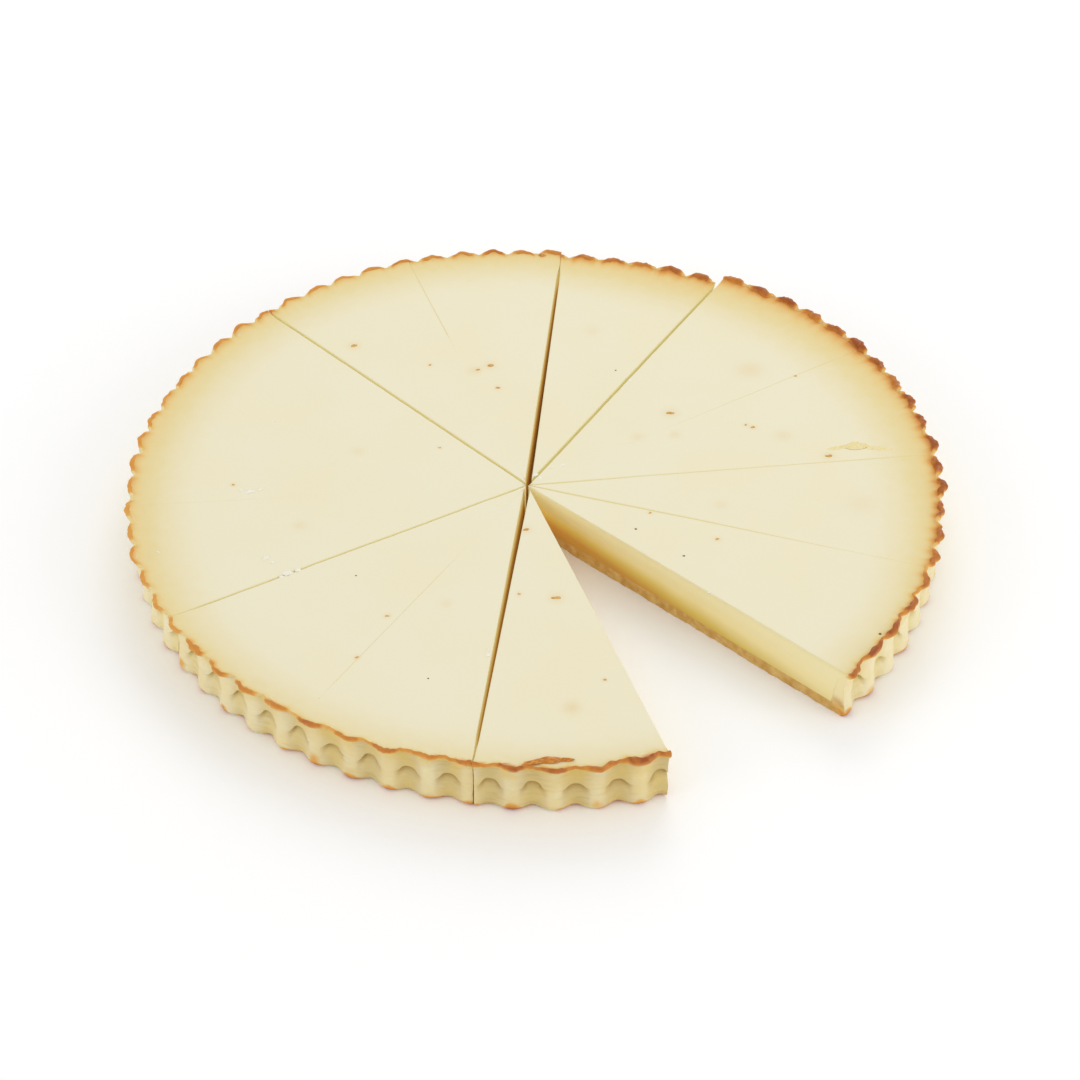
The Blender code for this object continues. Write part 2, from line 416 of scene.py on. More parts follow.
# %% Lip line
RIM_HEIGHT = 20.7 * MM
TIP_DEPTH = 1.6 * MM
TIP_LIFT = 0.5 * MM
CURL_RISE = 0.25
HIGHEST = cad_box[1][2] - 0.02 * MM
FARTHEST_OUT = 2.0 * MM
LIP_HALF = 0.65 * MM
NOTCH_THICK = 0.65
UNEVEN_THICK = 0.22
LOBE_THICK = (
    (0, 1.9), (40, 2.1), (60, 1.8), (100, 1.4), (160, 1.2), (225, 1.2), (255, 0.95), (270, 0.9),
    (274, 1.2), (279, 1.9), (288, 2.2), (310, 1.4), (335, 1.7), (360, 1.9),
)
LOBE_WIDE = ((0, 1.0), (50, 1.0), (75, 0.6), (180, 0.55), (225, 1.0), (360, 1.0))
LOBE_ROUND = ((0, 0.2), (180, 0.2), (220, 0.5), (245, 0.9), (300, 0.9), (330, 0.5), (360, 0.2))
LIP_NOTCH = (
    (0, 2.4), (60, 2.3), (180, 2.2), (225, 2.5), (250, 2.3), (300, 2.1), (325, 2.4), (360, 2.4),
)
LIP_SHORT = (
    (0, 1.1), (15, 0.9), (30, 0.2), (40, 0.0), (276, 0.0), (289, 1.0), (318, 0.7), (345, 1.2),
    (360, 1.1),
)
LIP_LIFT = ((0, 0.0), (274, 0.0), (288, 1.2), (290, 1.2), (300, 0.0), (360, 0.0))
RAGGED = (
    (0, 0.34), (60, 0.34), (100, 0.22), (180, 0.18), (250, 0.24), (300, 0.22), (340, 0.34), (360, 0.34),
)


def lobe(rays):
    """The lip's outline, 0 in a notch and 1 on a crest: a folded cosine, or a squared one where round."""
    lean = rays.each("lean", -0.10, 0.10) * rays.crest
    turn = math.pi * (rays.count + lean)
    folded = np.abs(np.cos(turn)) ** (rays.each("lobe", 0.7, 1.25) * rays.side(LOBE_WIDE))
    return folded + (np.cos(turn) ** 2 - folded) * rays.side(LOBE_ROUND)


def lip_line(rays):
    """The middle of the lip: its offset from the rim's radius, its height, and its half thickness."""
    swell = lobe(rays)
    ragged = rays.rough("ragged", 2.4 * MM) * rays.side(RAGGED) * MM
    out = TIP_DEPTH - ((1 - swell) * rays.side(LIP_NOTCH) + rays.side(LIP_SHORT)) * MM
    half = LIP_HALF * (NOTCH_THICK + (rays.side(LOBE_THICK) - NOTCH_THICK) * swell)
    half = half * (1 + UNEVEN_THICK * rays.rough("thickness", 3.5 * MM))
    offset = np.minimum(out + rays.reach + ragged, FARTHEST_OUT) - half
    lift = (CURL_RISE * rays.rough("curl", 5.0 * MM) + rays.side(LIP_LIFT)) * MM
    top = RIM_HEIGHT + TIP_LIFT * rays.wave + rays.rise + lift
    return offset, np.minimum(top, HIGHEST) - half, half


_, lip, half = lip_line(Rays(0, 0.5))
print("lip in the middle of portion 1, mm:", round(float(lip / MM), 2), "high")

# %% Inner wall
BASE_THICKNESS = 4.3 * MM
INNER_FOOT = 7.3 * MM
INNER_TOP = 5.2 * MM
INNER_BEND = 15.4 * MM


def inner_wall(height, offset, lip, half):
    """The offset of the wall's inner face: sloping out from the base, and then to the lip's inner edge."""
    up = np.clip((height - BASE_THICKNESS) / (INNER_BEND - BASE_THICKNESS), 0, 1)
    sloping = -INNER_FOOT + (INNER_FOOT - INNER_TOP) * up
    return sloping + (offset - half + INNER_TOP) * smooth(INNER_BEND, lip, height)


print("base thickness, mm:", BASE_THICKNESS / MM)

# %% [markdown]
# ## How far the oven has browned it
#
# One number, the bake, tells every finish how brown it is: 0 is pale cream, a quarter is
# gold, a half is orange brown, and 1 is dark. The cake stood unevenly in the oven, so one
# side is darker. The bake is strongest on the crests of the rim, which stand up into the
# hot air, and it dies away in a soft golden band over the filling.

# %% Bake
BROWN_SIDES = (
    (0, 0.94), (45, 0.92), (75, 0.72), (100, 0.60), (130, 0.50), (160, 0.42), (190, 0.38),
    (215, 0.46), (240, 0.68), (262, 0.72), (270, 0.84), (276, 0.76), (282, 0.96), (290, 0.96),
    (330, 0.90), (360, 0.94),
)
GOLDEN_SIDES = (
    (0, 1.1), (25, 1.4), (50, 1.6), (70, 1.35), (90, 0.7), (130, 0.65), (160, 0.8), (190, 0.8),
    (215, 0.5), (240, 0.4), (265, 0.35), (300, 0.35), (330, 0.5), (345, 0.8), (360, 1.1),
)
SPOT_WIDTHS = (
    (0, 3.0), (50, 3.2), (75, 2.6), (100, 2.0), (160, 2.1), (200, 2.1), (230, 1.5), (260, 1.0),
    (272, 1.4), (280, 2.0), (290, 2.4), (305, 1.6), (330, 2.4), (360, 3.0),
)
GOLDEN_BAKE = 0.27
GOLDEN_WIDTH = 9.5 * MM
SPOT_BAKE = 0.8


def rim_bake(rays, from_edge, from_rim):
    """The bake on top: a golden band by distance from the rim, and a browner spot on each crest."""
    golden = rays.side(GOLDEN_SIDES) * GOLDEN_BAKE * np.exp(-np.clip(from_rim, 0, None) / GOLDEN_WIDTH)
    width = rays.each("spot width", 0.8, 1.25) * rays.side(SPOT_WIDTHS) * MM
    on_lobe = smooth(0.05, 0.60 * rays.side(LOBE_WIDE), rays.crest)
    spot = rays.side(BROWN_SIDES) * rays.each("tone", 0.6, 1.2) * (0.2 + 0.8 * on_lobe)
    return golden + SPOT_BAKE * spot * np.exp(-(from_edge / width) ** 1.9)


print("brownest side:", max(BROWN_SIDES, key=lambda stop: stop[1])[0], "degrees")

# %% [markdown]
# ## Where the knife's line still shows
#
# Where the knife left a gap, the cream's edges are softly broken. Where the cream closed
# up again, only a faint groove is left, or nothing. A closed cut is a list of shares of
# the way from the tip to the rim, each with how far the groove shows there. The faces of
# a slot are painted with shade: brown where a wide slot is seen deep down, and olive in
# a narrow one. Light that comes to them through the cream is a weak painted glow, as true
# scattering is slow and is lost in an export.

# %% Edges and faces of the cuts
HEALED = {
    1: ((0.0, 1.7), (0.5, 1.3), (0.8, 0.7), (1.0, 0.4)),
    2: ((0.0, 1.7), (0.3, 1.2), (0.6, 1.0), (0.85, 1.1), (1.0, 0.5)),
    3: ((0.0, 0.0), (0.30, 0.0), (0.45, 0.5), (0.7, 0.8), (1.0, 0.7)),
    6: ((0.0, 0.0), (0.6, 0.0), (0.66, 1.0), (1.0, 0.9)),
    8: ((0.0, 0.0), (1.0, 0.0)),
    9: ((0.0, 0.0), (0.6, 0.1), (0.7, 0.4), (0.95, 0.3), (1.0, 0.0)),
    11: ((0.0, 0.2), (0.25, 0.0), (0.4, 0.7), (0.85, 0.7), (0.92, 0.0), (1.0, 0.0)),
}
GROOVE = 0.50 * MM
GROOVE_DIP = 0.12 * MM
BROKEN_EDGE = 0.45 * MM
EDGE_DROP = 0.36 * MM
RIM_CLOSES = {5: 0.5 * MM, 10: 0.3 * MM, 12: 0.3 * MM}
EDGE_TINTS = {0: 0.6, 4: 1.0, 5: 0.5, 7: 1.0, 10: 0.6, 12: 0.5, 13: 0.6}
GLOWS = {4: 0.40, 5: 0.27, 7: 0.46, 10: 0.46, 12: 0.27}
# Painted shade of the slots' faces: a tone over 1 turns a face olive, one below 0 browner.
SLOT_SHADE_TONES = {4: 1.5, 5: -0.8, 7: 1.5, 10: 1.5, 12: -0.8}


def edge_of(cut, share):
    """For shares of the way to the rim: how wide the edge beside a cut is rounded, how deep it dips,
    how far the face moves to meet its neighbour, and how strong the knife's line shows. A broken
    edge's width is two sine waves multiplied."""
    if cut in HEALED:
        shown = np.interp(share, *zip(*HEALED[cut]))
        meets = np.full_like(share, CLOSED / 2)
        return {"wide": GROOVE * shown, "dip": GROOVE_DIP * shown, "meets": meets, "shown": shown}
    return {
        "wide": BROKEN_EDGE * (1 + 0.5 * np.sin(share * 37.0 + cut) * np.sin(share * 91.0)),
        "dip": np.full_like(share, EDGE_DROP),
        "meets": RIM_CLOSES.get(cut, 0.0) * smooth(0.90, 0.97, share),
        "shown": np.full_like(share, EDGE_TINTS.get(cut, 0.0)),
    }


def glow_of(cut, share):
    """How strong the painted glow of light passed through the cream is on a cut face, from the tip
    outwards.
    """
    if cut in (0, LAST_CUT):
        return 0.05 + 0.45 * np.exp(-share / 0.22)
    return np.full_like(share, GLOWS.get(cut, 0.0))


def shade_tone_of(cut, share):
    """Where in its range of painted shade a face starts: its share of the way out, or a slot's shade tone.
    """
    return np.full_like(share, SLOT_SHADE_TONES[cut]) if cut in SLOT_SHADE_TONES else share


print("closed cuts:", len(HEALED))

# %% [markdown]
# ## The top of the filling
#
# Baked ricotta cream sets to a smooth slab. Its top is nearly flat, and it climbs the
# last few millimetres to the browned rim. It carries brown flecks and soft golden stains.
# Each fleck is x and y in mm, its length and width in mm, and the direction of its length
# in degrees. Each stain is x, y and width in mm, and a strength.

# %% Level, flecks and stains
FILLING_HEIGHT = 19.4 * MM
CLIMB_WIDTH = 5.0 * MM
FLECK_HALO = 0.40
BROWN_FLECKS = (
    (-66.2, 81.2, 2.5, 1.5, 20), (-38.5, 69.6, 1.2, 0.8, 60), (-21.2, 66.5, 1.6, 0.9, 10),
    (-16.9, 68.9, 2.4, 1.6, 30), (-14, 55.8, 1.5, 1.1, 0), (46.6, 40.9, 3, 1.4, 0),
    (75.2, 32.6, 1.5, 1.1, 20), (72.8, 34, 1.1, 0.8, 90), (100.6, 16.3, 2.5, 1.4, 5),
    (-4, -22.6, 2.2, 1.2, 15), (5.9, -57.5, 2.8, 1.4, 0), (-6.2, -55.5, 1.2, 0.9, 0),
    (38, -14, 1.1, 0.8, 40), (92, 62, 1.2, 0.8, 10), (-58, -86, 1.4, 0.9, 30),
    (-104, 2, 1.2, 0.8, 0), (-34, 22, 1, 0.8, 0), (60, -28, 1.5, 0.9, 20),
    (21, -97, 1.1, 0.9, 0), (-49, -66, 1.5, 0.8, 12),
)
STAINS = (
    (76, 66, 4.5, 0.40), (82, 112, 3.5, 0.30), (85.4, 27.6, 3, 0.30), (47.8, 28.5, 1.8, 0.35),
    (-109.1, 80.3, 3, 0.45), (10.5, -110, 2.6, 0.55), (-23, 66, 2.4, 0.25), (35, 27.4, 2.2, 0.30),
    (104, 84, 5, 0.45), (96, 70, 3, 0.25), (-62, 20, 2.5, 0.25), (-30, -60, 2.2, 0.25),
    (-80, -20, 2.4, 0.30), (62, -10, 2.4, 0.25), (110, -10, 6, 0.25), (20, 90, 3, 0.20),
    (83.2, 104, 2, 0.80),
)


def top_height(points):
    """The level of the cream's top: very flat, with broad swells of a tenth of a millimetre."""
    level = points * (1, 1, 0)
    swells = 0.10 * MM * rough("swells", level, 60 * MM)
    return FILLING_HEIGHT + swells + 0.03 * MM * rough("ripples", level, 14 * MM)


def climb(from_lip):
    """0 on the flat top, rising to 1 at the lip: a power of the share of the way there."""
    return np.clip(1 - from_lip / CLIMB_WIDTH, 0, 1) ** 1.8


def stained(points):
    """Golden stains on top, and a weaker halo round each fleck: a sum of bells."""
    total = np.zeros(points.shape[:-1])
    halos = [(x, y, 0.9 * long, FLECK_HALO) for x, y, long, wide, way in BROWN_FLECKS]
    for x, y, wide, strength in (*STAINS, *halos):
        apart = (points[..., 0] / MM - x) ** 2 + (points[..., 1] / MM - y) ** 2
        total += strength * np.exp(-apart / wide**2)
    return total


print("flecks:", len(BROWN_FLECKS), "stains:", len(STAINS))

# %% [markdown]
# ## The slab of filling
#
# The slab is one ring of points: up one cut face, over the top, down the other face and
# back below. The ring grows from the tip to the wall, so one grid gives the whole slab.
# A box with a Boolean for each cut would be quicker to write, but it could not follow the
# lip's uneven line or close a cut again part of the way.

# %% Columns and rows of the slab
TOP_COLUMNS = 100
FACE_ROWS = 8
UNDER_STEPS = 7
CORNER_STEPS = 4
FILLING_ROWS = 110
RIM_ROWS = 24
RIM_ROWS_FROM = 0.90


def filling_rings():
    """Columns of the ring round the slab: across (0 first face, 1 last), out of the face into the
    corner (0 to 1), drop down the rounded edge (0 to 1), and share of the height (0 to 1)."""
    up = np.linspace(0, 1, FACE_ROWS, endpoint=False)
    corner = np.linspace(math.pi / 2, 0, CORNER_STEPS + 1)
    top = np.linspace(0, 1, TOP_COLUMNS + 1)[1:-1]
    low = np.linspace(1, 0, UNDER_STEPS + 1)[1:-1]
    inwards = np.concatenate((np.zeros(FACE_ROWS), 1 - np.sin(corner)))
    drop = np.concatenate((np.ones(FACE_ROWS), 1 - np.cos(corner)))
    height = np.concatenate((up, np.ones(CORNER_STEPS + 1)))
    first, last = (np.stack((np.full(len(drop), across), inwards, drop, height)) for across in (0.0, 1.0))
    over = np.stack((top, np.ones_like(top), np.zeros_like(top), np.ones_like(top)))
    under = np.stack((low, np.zeros_like(low), np.ones_like(low), np.zeros_like(low)))
    return np.concatenate((first, over, last[:, ::-1], under), axis=1)


def filling_rows():
    """Shares of the way from the tip to the wall: even over the middle, closer near the rim."""
    even = np.linspace(0, RIM_ROWS_FROM, FILLING_ROWS - RIM_ROWS, endpoint=False)
    return np.concatenate((even, np.linspace(RIM_ROWS_FROM, 1.0, RIM_ROWS + 1)))


print("slab columns:", filling_rings().shape[1], "rows:", len(filling_rows()))

# %% Filling: its surface
FILLING_PAINTS = ("bake", "cut_depth", "groove", "out", "glow", "stain")
FILLING_BOTTOM = BASE_THICKNESS - 0.05 * MM
FILLING_OVERLAP = 0.15 * MM
PORTION_LENGTH = 134 * MM
TIP_ROOM = 0.3 * MM
CORNER_ROOM = 2.0 * MM
SHOULDER = (18.3 * MM, 19.2 * MM)
END_MIDDLE = (0.92, 0.92, 0.0)
END_HEIGHT = np.array((0.0, 0.0, 12.0 * MM))
FILLING_CLIMB = (
    (0, -0.25), (55, -0.25), (80, 0.3), (110, 0.55), (250, 0.55), (280, 0.1), (330, -0.2), (360, -0.25),
)


def face_glow(glow, wide_open, drop, cut):
    """The glow of a face: none on top, full from a depth that is lower in the open wedge, then fading."""
    bright = np.where(wide_open, 0.6, 0.3)
    glow = glow * smooth(0.1, 0.8, drop) * (0.3 + 0.7 * smooth(bright - 0.3, bright, cut))
    return glow * (1 - 0.9 * smooth(bright + 0.15, bright + 0.7, cut))


def filling_skin(number):
    """The slab of one portion. The rays turn off the cut faces by the edge's width over the distance;
    the level is the cream's top, climbing to the lip, less the dip of the edge."""
    across, inwards, drop, height = filling_rings()[:, None, :]
    share = filling_rows()[:, None]
    near_first = across < 0.5
    first, last = edge_of(number, share), edge_of(number + 1, share)
    rays = Rays(number, across)
    room, corner_room = (share * PORTION_LENGTH + space for space in (TIP_ROOM, CORNER_ROOM))
    turn_first = rays.first + first["wide"] * inwards / corner_room - first["meets"] / room
    turn_last = rays.last - last["wide"] * inwards / corner_room + last["meets"] / room
    rays.turn(turn_first + (turn_last - turn_first) * across)

    offset, lip, half = lip_line(rays)
    to_lip = rays.length(offset - 0.5 * half)
    from_lip = (1 - share) * to_lip
    level = top_height(rays.points(share * to_lip, 0.0))
    level = level + (lip + rays.side(FILLING_CLIMB) * half - level) * climb(from_lip)
    dip = np.where(near_first, first["dip"], last["dip"])
    dip = np.where(share == 0, (first["dip"] + last["dip"]) / 2, dip)
    z = FILLING_BOTTOM + (level - dip * drop - FILLING_BOTTOM) * height
    to_wall = rays.length(inner_wall(z, offset, lip, half) + FILLING_OVERLAP)
    points = rays.points(share * (to_wall + (to_lip - to_wall) * smooth(*SHOULDER, z)), z)

    cut = np.clip((FILLING_HEIGHT - z) / (FILLING_HEIGHT - BASE_THICKNESS), 0, 1) * (drop > 0.9)
    on_line = (1 - inwards * (drop < 0.5)) * (height > 0.99) * ((across == 0) | (across == 1))
    glow = np.where(near_first, glow_of(number, share), glow_of(number + 1, share))
    wide_open = np.where(near_first, number == 0, number + 1 == LAST_CUT)
    skin = Skin(*FILLING_PAINTS)
    skin.grid(points, flip=True, closed=True, cut_depth=cut, stain=stained(points),
              bake=rim_bake(rays, from_lip + 1.5 * half, rays.length(0.0) - share * to_lip),
              groove=np.where(near_first, first["shown"], last["shown"]) * on_line,
              out=np.where(near_first, shade_tone_of(number, share), shade_tone_of(number + 1, share)),
              glow=face_glow(glow, wide_open, drop, cut))
    ring = points[-1]
    skin.fan(ring.mean(axis=0) * END_MIDDLE + END_HEIGHT, ring, flip=True, cut_depth=0.5, out=1.0)
    return skin.weld()


print("filling 1 has", len(filling_skin(0).xyz), "vertices")

# %% [markdown]
# ## The shortcrust shell
#
# The dough was pressed into a fluted tin. Its wall has tall crests, and between them
# recesses with a small arched ledge, where the dough folded over the tin's shoulder. The
# rim flares out and ends in a thin rounded lip, curled and uneven. The wall is a profile
# carried round the rim: the crest line, less the flutes' wave, less a shallow pocket that
# fades down from each ledge. The grid's rows bend to follow the ledge, so it stays crisp.

# %% Wall: its depth
CREST_LINE = (
    (0.0, -2.7), (0.8, -1.3), (2.0, -0.9), (6.0, -1.5), (10.0, -1.9), (13.0, -2.0), (17.0, -1.2),
    (19.0, -0.2), (20.2, 1.1),
)
FLUTE_DEPTH = ((0.0, 2.3), (3.0, 2.0), (6.0, 1.7), (12.0, 1.4), (17.0, 1.9), (20.2, 2.8))
POCKET_DEPTH = 1.35 * MM
POCKET_FALL = 2.6 * MM
LEDGE_CREST = 8.6 * MM
LEDGE_RISE = 2.6 * MM
FOLD_HEIGHT = 3.6 * MM
EDGE_STEP = 0.25 * MM
LAYER_SIZE = 1.1 * MM
LAYER_RELIEF = 0.045 * MM
LAYER_STRETCH = (0.12, 0.12, 0)


def read(table, height):
    """A length in metres read from a table of millimetre pairs."""
    at, value = zip(*table)
    return MM * np.interp(height / MM, at, value)


def recess(rays):
    """0 on a crest and 1 in the middle of a recess: the plain wave of the flutes."""
    return 0.5 - 0.5 * np.cos(math.tau * rays.count)


def pocket(rays):
    """1 in the middle of a recess, falling to 0 well before the crest."""
    return smooth(0.20, 0.72, recess(rays))


def ledge_height(rays):
    """The ledge where the wall steps in: low on a crest, and an arch of its own in each recess."""
    arch = LEDGE_RISE + rays.each("ledge", -1.2, 0.9, 0.5) * MM
    uneven = 0.20 * MM * rays.rough("ledge line", 9 * MM)
    return LEDGE_CREST + arch * smooth(0.35, 1.0, recess(rays)) + uneven


def layers(rays, height):
    """The dough's level layers: unevenness read from places drawn out sideways."""
    return rough("layers", rays.rim() * LAYER_STRETCH + height[..., None] * (0, 0, 1), LAYER_SIZE)


def below(height, edge):
    """1 below an edge and 0 above it, with a step half a millimetre wide."""
    return 1 - smooth(edge - EDGE_STEP, edge + EDGE_STEP, height)


def wall_radius(rays, height):
    """The outside: the crest line less the flutes' wave, the pocket and a low fold, plus the layers."""
    wave = recess(rays)
    ledge = ledge_height(rays)
    fade = np.exp(-(np.clip(ledge - height, 0, None) / POCKET_FALL) ** 2)
    hollow = POCKET_DEPTH * pocket(rays) * fade * below(height, ledge)
    fold = rays.each("fold", 0.0, 0.7, 0.5) * MM * wave**4
    fold_edge = FOLD_HEIGHT + 0.5 * MM * rays.rough("fold line", 20 * MM)
    radius = read(CREST_LINE, height) - read(FLUTE_DEPTH, height) * wave - hollow
    return radius - fold * below(height, fold_edge) + LAYER_RELIEF * layers(rays, height)


print("ledge between, mm:", LEDGE_CREST / MM, "and", (LEDGE_CREST + LEDGE_RISE) / MM)

# %% Wall: its profile
WALL_ROWS = 52
LIP_STEPS = 8
COLUMNS_PER_PORTION = 160
ROW_STEPS = np.array((0.0, 0.06, 0.48, 0.56, 1.0))
FOOT_ROUND = 0.8 * MM
LEDGE_ROOM = 0.35 * MM
FLARE_FROM = 16.5 * MM


def wall_profile(rays):
    """Offsets and heights of the rows from the foot up the outside, over the lip and down the inside.
    The rows are shared out between the foot, the ledge and the lip; the lip is half an ellipse."""
    offset, lip, half = lip_line(rays)
    ledge = ledge_height(rays)
    share = np.linspace(0, 1, WALL_ROWS + 1)
    marks = np.stack((0 * lip, 0 * lip + FOOT_ROUND, ledge - LEDGE_ROOM, ledge + LEDGE_ROOM, lip))
    part = np.clip(np.searchsorted(ROW_STEPS, share, side="right") - 1, 0, 3)
    inside = (share - ROW_STEPS[part]) / (ROW_STEPS[part + 1] - ROW_STEPS[part])
    height = marks[part] + (marks[part + 1] - marks[part]) * inside[:, None]
    radius = wall_radius(rays, height)
    radius = radius + (offset + half - radius) * smooth(FLARE_FROM, lip, height)
    turn = np.linspace(0, math.pi, LIP_STEPS + 1)[1:, None]
    down = share[1:, None]
    inner_height = lip + (BASE_THICKNESS - lip) * down
    inner = inner_wall(inner_height, offset, lip, half)
    radii = np.concatenate((radius, offset + half * np.cos(turn), inner))
    return radii, np.concatenate((height, lip + 0.9 * half * np.sin(turn), inner_height))


_, heights = wall_profile(Rays(0, np.linspace(0, 1, COLUMNS_PER_PORTION + 1)))
print("wall rows:", len(heights), "highest, mm:", round(heights.max() / MM, 2))

# %% [markdown]
# ## Painting the wall
#
# The wall is brown at the lip and pale below, with a few brown spots and a thin brown
# edge near the foot, which is partly browning and partly painted shade where the wall
# meets the floor. Painted values on the mesh tell the finish where, so no picture is
# needed. Each is a bell over the height times a seeded amount for each crest. The paint
# also holds a pocket of painted shade under each ledge, and how pale the wall is round
# the cake, which is partly its own tone and partly painted light.

# %% Pastry: its paint
PASTRY_PAINTS = ("bake", "recess", "shade", "layer", "upper", "pale", "crumb", "end", "glow")
# How pale the wall is round the cake, least in front: partly its own tone, partly painted light.
PALE_AND_LIT_SIDES = (
    (0, 1.0), (90, 0.8), (150, 1.0), (205, 1.0), (225, 0.6), (245, 0.25), (280, 0.05), (300, 0.2),
    (315, 0.7), (340, 1.0), (360, 1.0),
)
RIM_BAND = (
    (0, 0.75), (150, 0.75), (190, 1.3), (230, 1.2), (258, 1.1), (268, 1.2), (279, 1.7), (288, 2.6),
    (292, 2.6), (300, 1.2), (330, 1.0), (360, 0.75),
)
SPOT_TALL = 2.6 * MM
SHADE_TALL = 2.0 * MM
UPPER_WALL = (11.0 * MM, 18.5 * MM)


def lip_bake(rays, height):
    """The lip's bake on the outside: a steep bell down from the top, deeper on crests and in front."""
    _, lip, half = lip_line(rays)
    tone = rays.each("tone", 0.55, 1.1)
    degrees = np.degrees(rays.angle) % 360
    front = smooth(228, 262, degrees) * smooth(345, 325, degrees)
    share = np.maximum(smooth(0.05, 0.6, rays.crest) * (0.40 + 0.65 * tone), 0.52 * front + 0.20)
    depth = rays.side(RIM_BAND) * MM + 1.3 * half * rays.crest**1.2 * tone
    under_lip = np.clip(lip + half - height, 0, None)
    return rays.side(BROWN_SIDES) * share * np.exp(-(under_lip / depth) ** 2.2)


def foot_bake(rays, height):
    """The larger of two bells: brown spots low on some crests, and a brown edge at the foot, which is
    partly browning and partly painted shade where the wall meets the floor.
    """
    crest = np.clip(1 - 1.8 * recess(rays), 0, 1) ** 1.3
    spot = np.clip(rays.each("spot", -0.20, 0.22), 0, None) * crest
    spot = spot * np.exp(-((height - rays.each("spot height", 0.5, 3.6) * MM) / SPOT_TALL) ** 2)
    foot = crest * rays.each("foot", 0.0, 1.0)
    edge = np.clip(0.36 + 0.30 * foot + 0.36 * rays.rough("foot line", 8 * MM), 0, 0.9)
    return np.maximum(spot, edge * np.exp(-(height / ((1.1 + 1.8 * foot) * MM)) ** 2))


def pastry_paint(rays, height):
    """Painted values of the wall's grid, by name."""
    outer = np.arange(len(height))[:, None] <= WALL_ROWS + LIP_STEPS // 2
    under_ledge = ledge_height(rays) - height
    # Painted shade in the pocket under each ledge, fading downward.
    shade = pocket(rays) * np.exp(-(under_ledge / SHADE_TALL) ** 2) * (under_ledge > 0)
    return {
        "bake": np.maximum(lip_bake(rays, height), foot_bake(rays, height) * outer),
        "recess": recess(rays) + 0 * height,
        "shade": shade * outer,
        "layer": 0.5 + 0.35 * layers(rays, height),
        "upper": smooth(*UPPER_WALL, height),
        # Paleness by side: partly the wall's own tone, partly painted light.
        "pale": rays.side(PALE_AND_LIT_SIDES) + 0 * height,
    }


print("painted values:", ", ".join(PASTRY_PAINTS))

# %% [markdown]
# ## Cut faces of the crust
#
# A cut through the crust shows crumb: short, sandy and tan. The two cut faces are grids
# between the lower outline and the upper one, with the rounded lip at their end. Their
# points are then pushed a little into the face by two sizes of unevenness, so crumbs
# stand in real relief and catch the light. The flat faces below and under the filling
# have a narrow ring round them, so that no paint of the wall runs in across them.

# %% Crust skin
BASE_STEPS = 130
THICK_STEPS = 8
CRUST_GLOW = 0.31
FLAT_CRUMB = 0.6
FLAT_MIDDLE = 0.6
FLAT_INSET = 0.03
END_FROM = (4.0 * MM, 9.0 * MM)


def ruled(one, other):
    """Straight rows of points from each point of one line to the same point of another."""
    share = np.linspace(0, 1, THICK_STEPS + 1)[:, None]
    return one[:, None] + (other - one)[:, None] * share


def meeting_shares(number):
    """Shares across a portion. Beside a closed cut they go on past it, to meet the neighbour's wall."""
    rays = Rays(number, 0.0)
    past = [CLOSED / 2 if cut in HEALED else RIM_CLOSES.get(cut, 0.0) for cut in (number, number + 1)]
    ends = np.array(past) / RIM_RADIUS / (rays.last - rays.first)
    return np.linspace(-ends[0], 1 + ends[1], COLUMNS_PER_PORTION + 1)


def cut_faces(skin, number, rays, wall, bake):
    """Adds both cut faces, and gives each flat face's tip, first edge, outer line, last edge and flip."""
    outer, inner = wall[:WALL_ROWS + 1], wall[WALL_ROWS + LIP_STEPS:][::-1]
    tips = [np.append(rays.tip, z) + CENTRE_SHIFT for z in (0.0, BASE_THICKNESS)]
    along = np.linspace(0, 1, BASE_STEPS + 1)[:, None]
    above_foot = np.minimum(np.arange(THICK_STEPS + 1), 1)
    edges = []
    for column, cut, flip in ((0, number, True), (-1, number + 1, False)):
        low, high = (tip + (line[0, column] - tip) * along for tip, line in zip(tips, (outer, inner)))
        # A weaker painted glow on the crust's cut faces, none at the foot.
        glow = 0.5 * np.minimum(glow_of(cut, along), CRUST_GLOW) * above_foot
        skin.grid(ruled(low, high), flip=flip, crumb=1.0, glow=glow)
        end = ruled(outer[:, column], inner[:, column])
        brown = bake[:, column, None]
        brown = ruled(brown[:WALL_ROWS + 1], brown[WALL_ROWS + LIP_STEPS:][::-1])[..., 0]
        upper = smooth(*END_FROM, end[..., 2])
        skin.grid(end, flip=flip, crumb=1 - upper, end=upper, bake=brown, layer=0.5, glow=glow[-1, -1])
        lip = wall[WALL_ROWS:WALL_ROWS + LIP_STEPS + 1, column]
        skin.grid(np.stack((end[-1], lip)), flip=flip, bake=bake[WALL_ROWS, column])
        edges.append((low, high))
    (first_low, first_high), (last_low, last_high) = edges
    underside = (tips[0], first_low, outer[0], last_low, True)
    return underside, (tips[1], first_high, inner[0], last_high, False)


def pastry_skin(number):
    """One portion's crust: the wall's grid, two cut faces, an underside and a hidden base top."""
    rays = Rays(number, meeting_shares(number))
    offset, height = wall_profile(rays)
    wall = rays.points(rays.length(offset), height)
    skin = Skin(*PASTRY_PAINTS)
    paint = pastry_paint(rays, height)
    skin.grid(wall, **paint)
    for tip, first, arc, last, flip in cut_faces(skin, number, rays, wall, paint["bake"]):
        ring = np.concatenate((first[:-1], arc, last[-2:0:-1]))
        middle = tip + (arc[len(arc) // 2] - tip) * FLAT_MIDDLE
        inset = ring + (middle - ring) * FLAT_INSET
        skin.grid(np.stack((ring, inset)), flip=flip, closed=True, crumb=FLAT_CRUMB)
        skin.fan(middle, inset, flip=flip, crumb=FLAT_CRUMB)
    return crumble(skin.weld(), rays)


print("steps along a cut face:", BASE_STEPS)

# %% Crumbs in relief
CRUMB_DEPTH = 0.50 * MM
CRUMB_REACH = 0.5 * MM
CRUMB_HEIGHTS = (7.0 * MM, 4.0 * MM)
CRUMB_FREE = (2.0 * MM, 8.0 * MM)


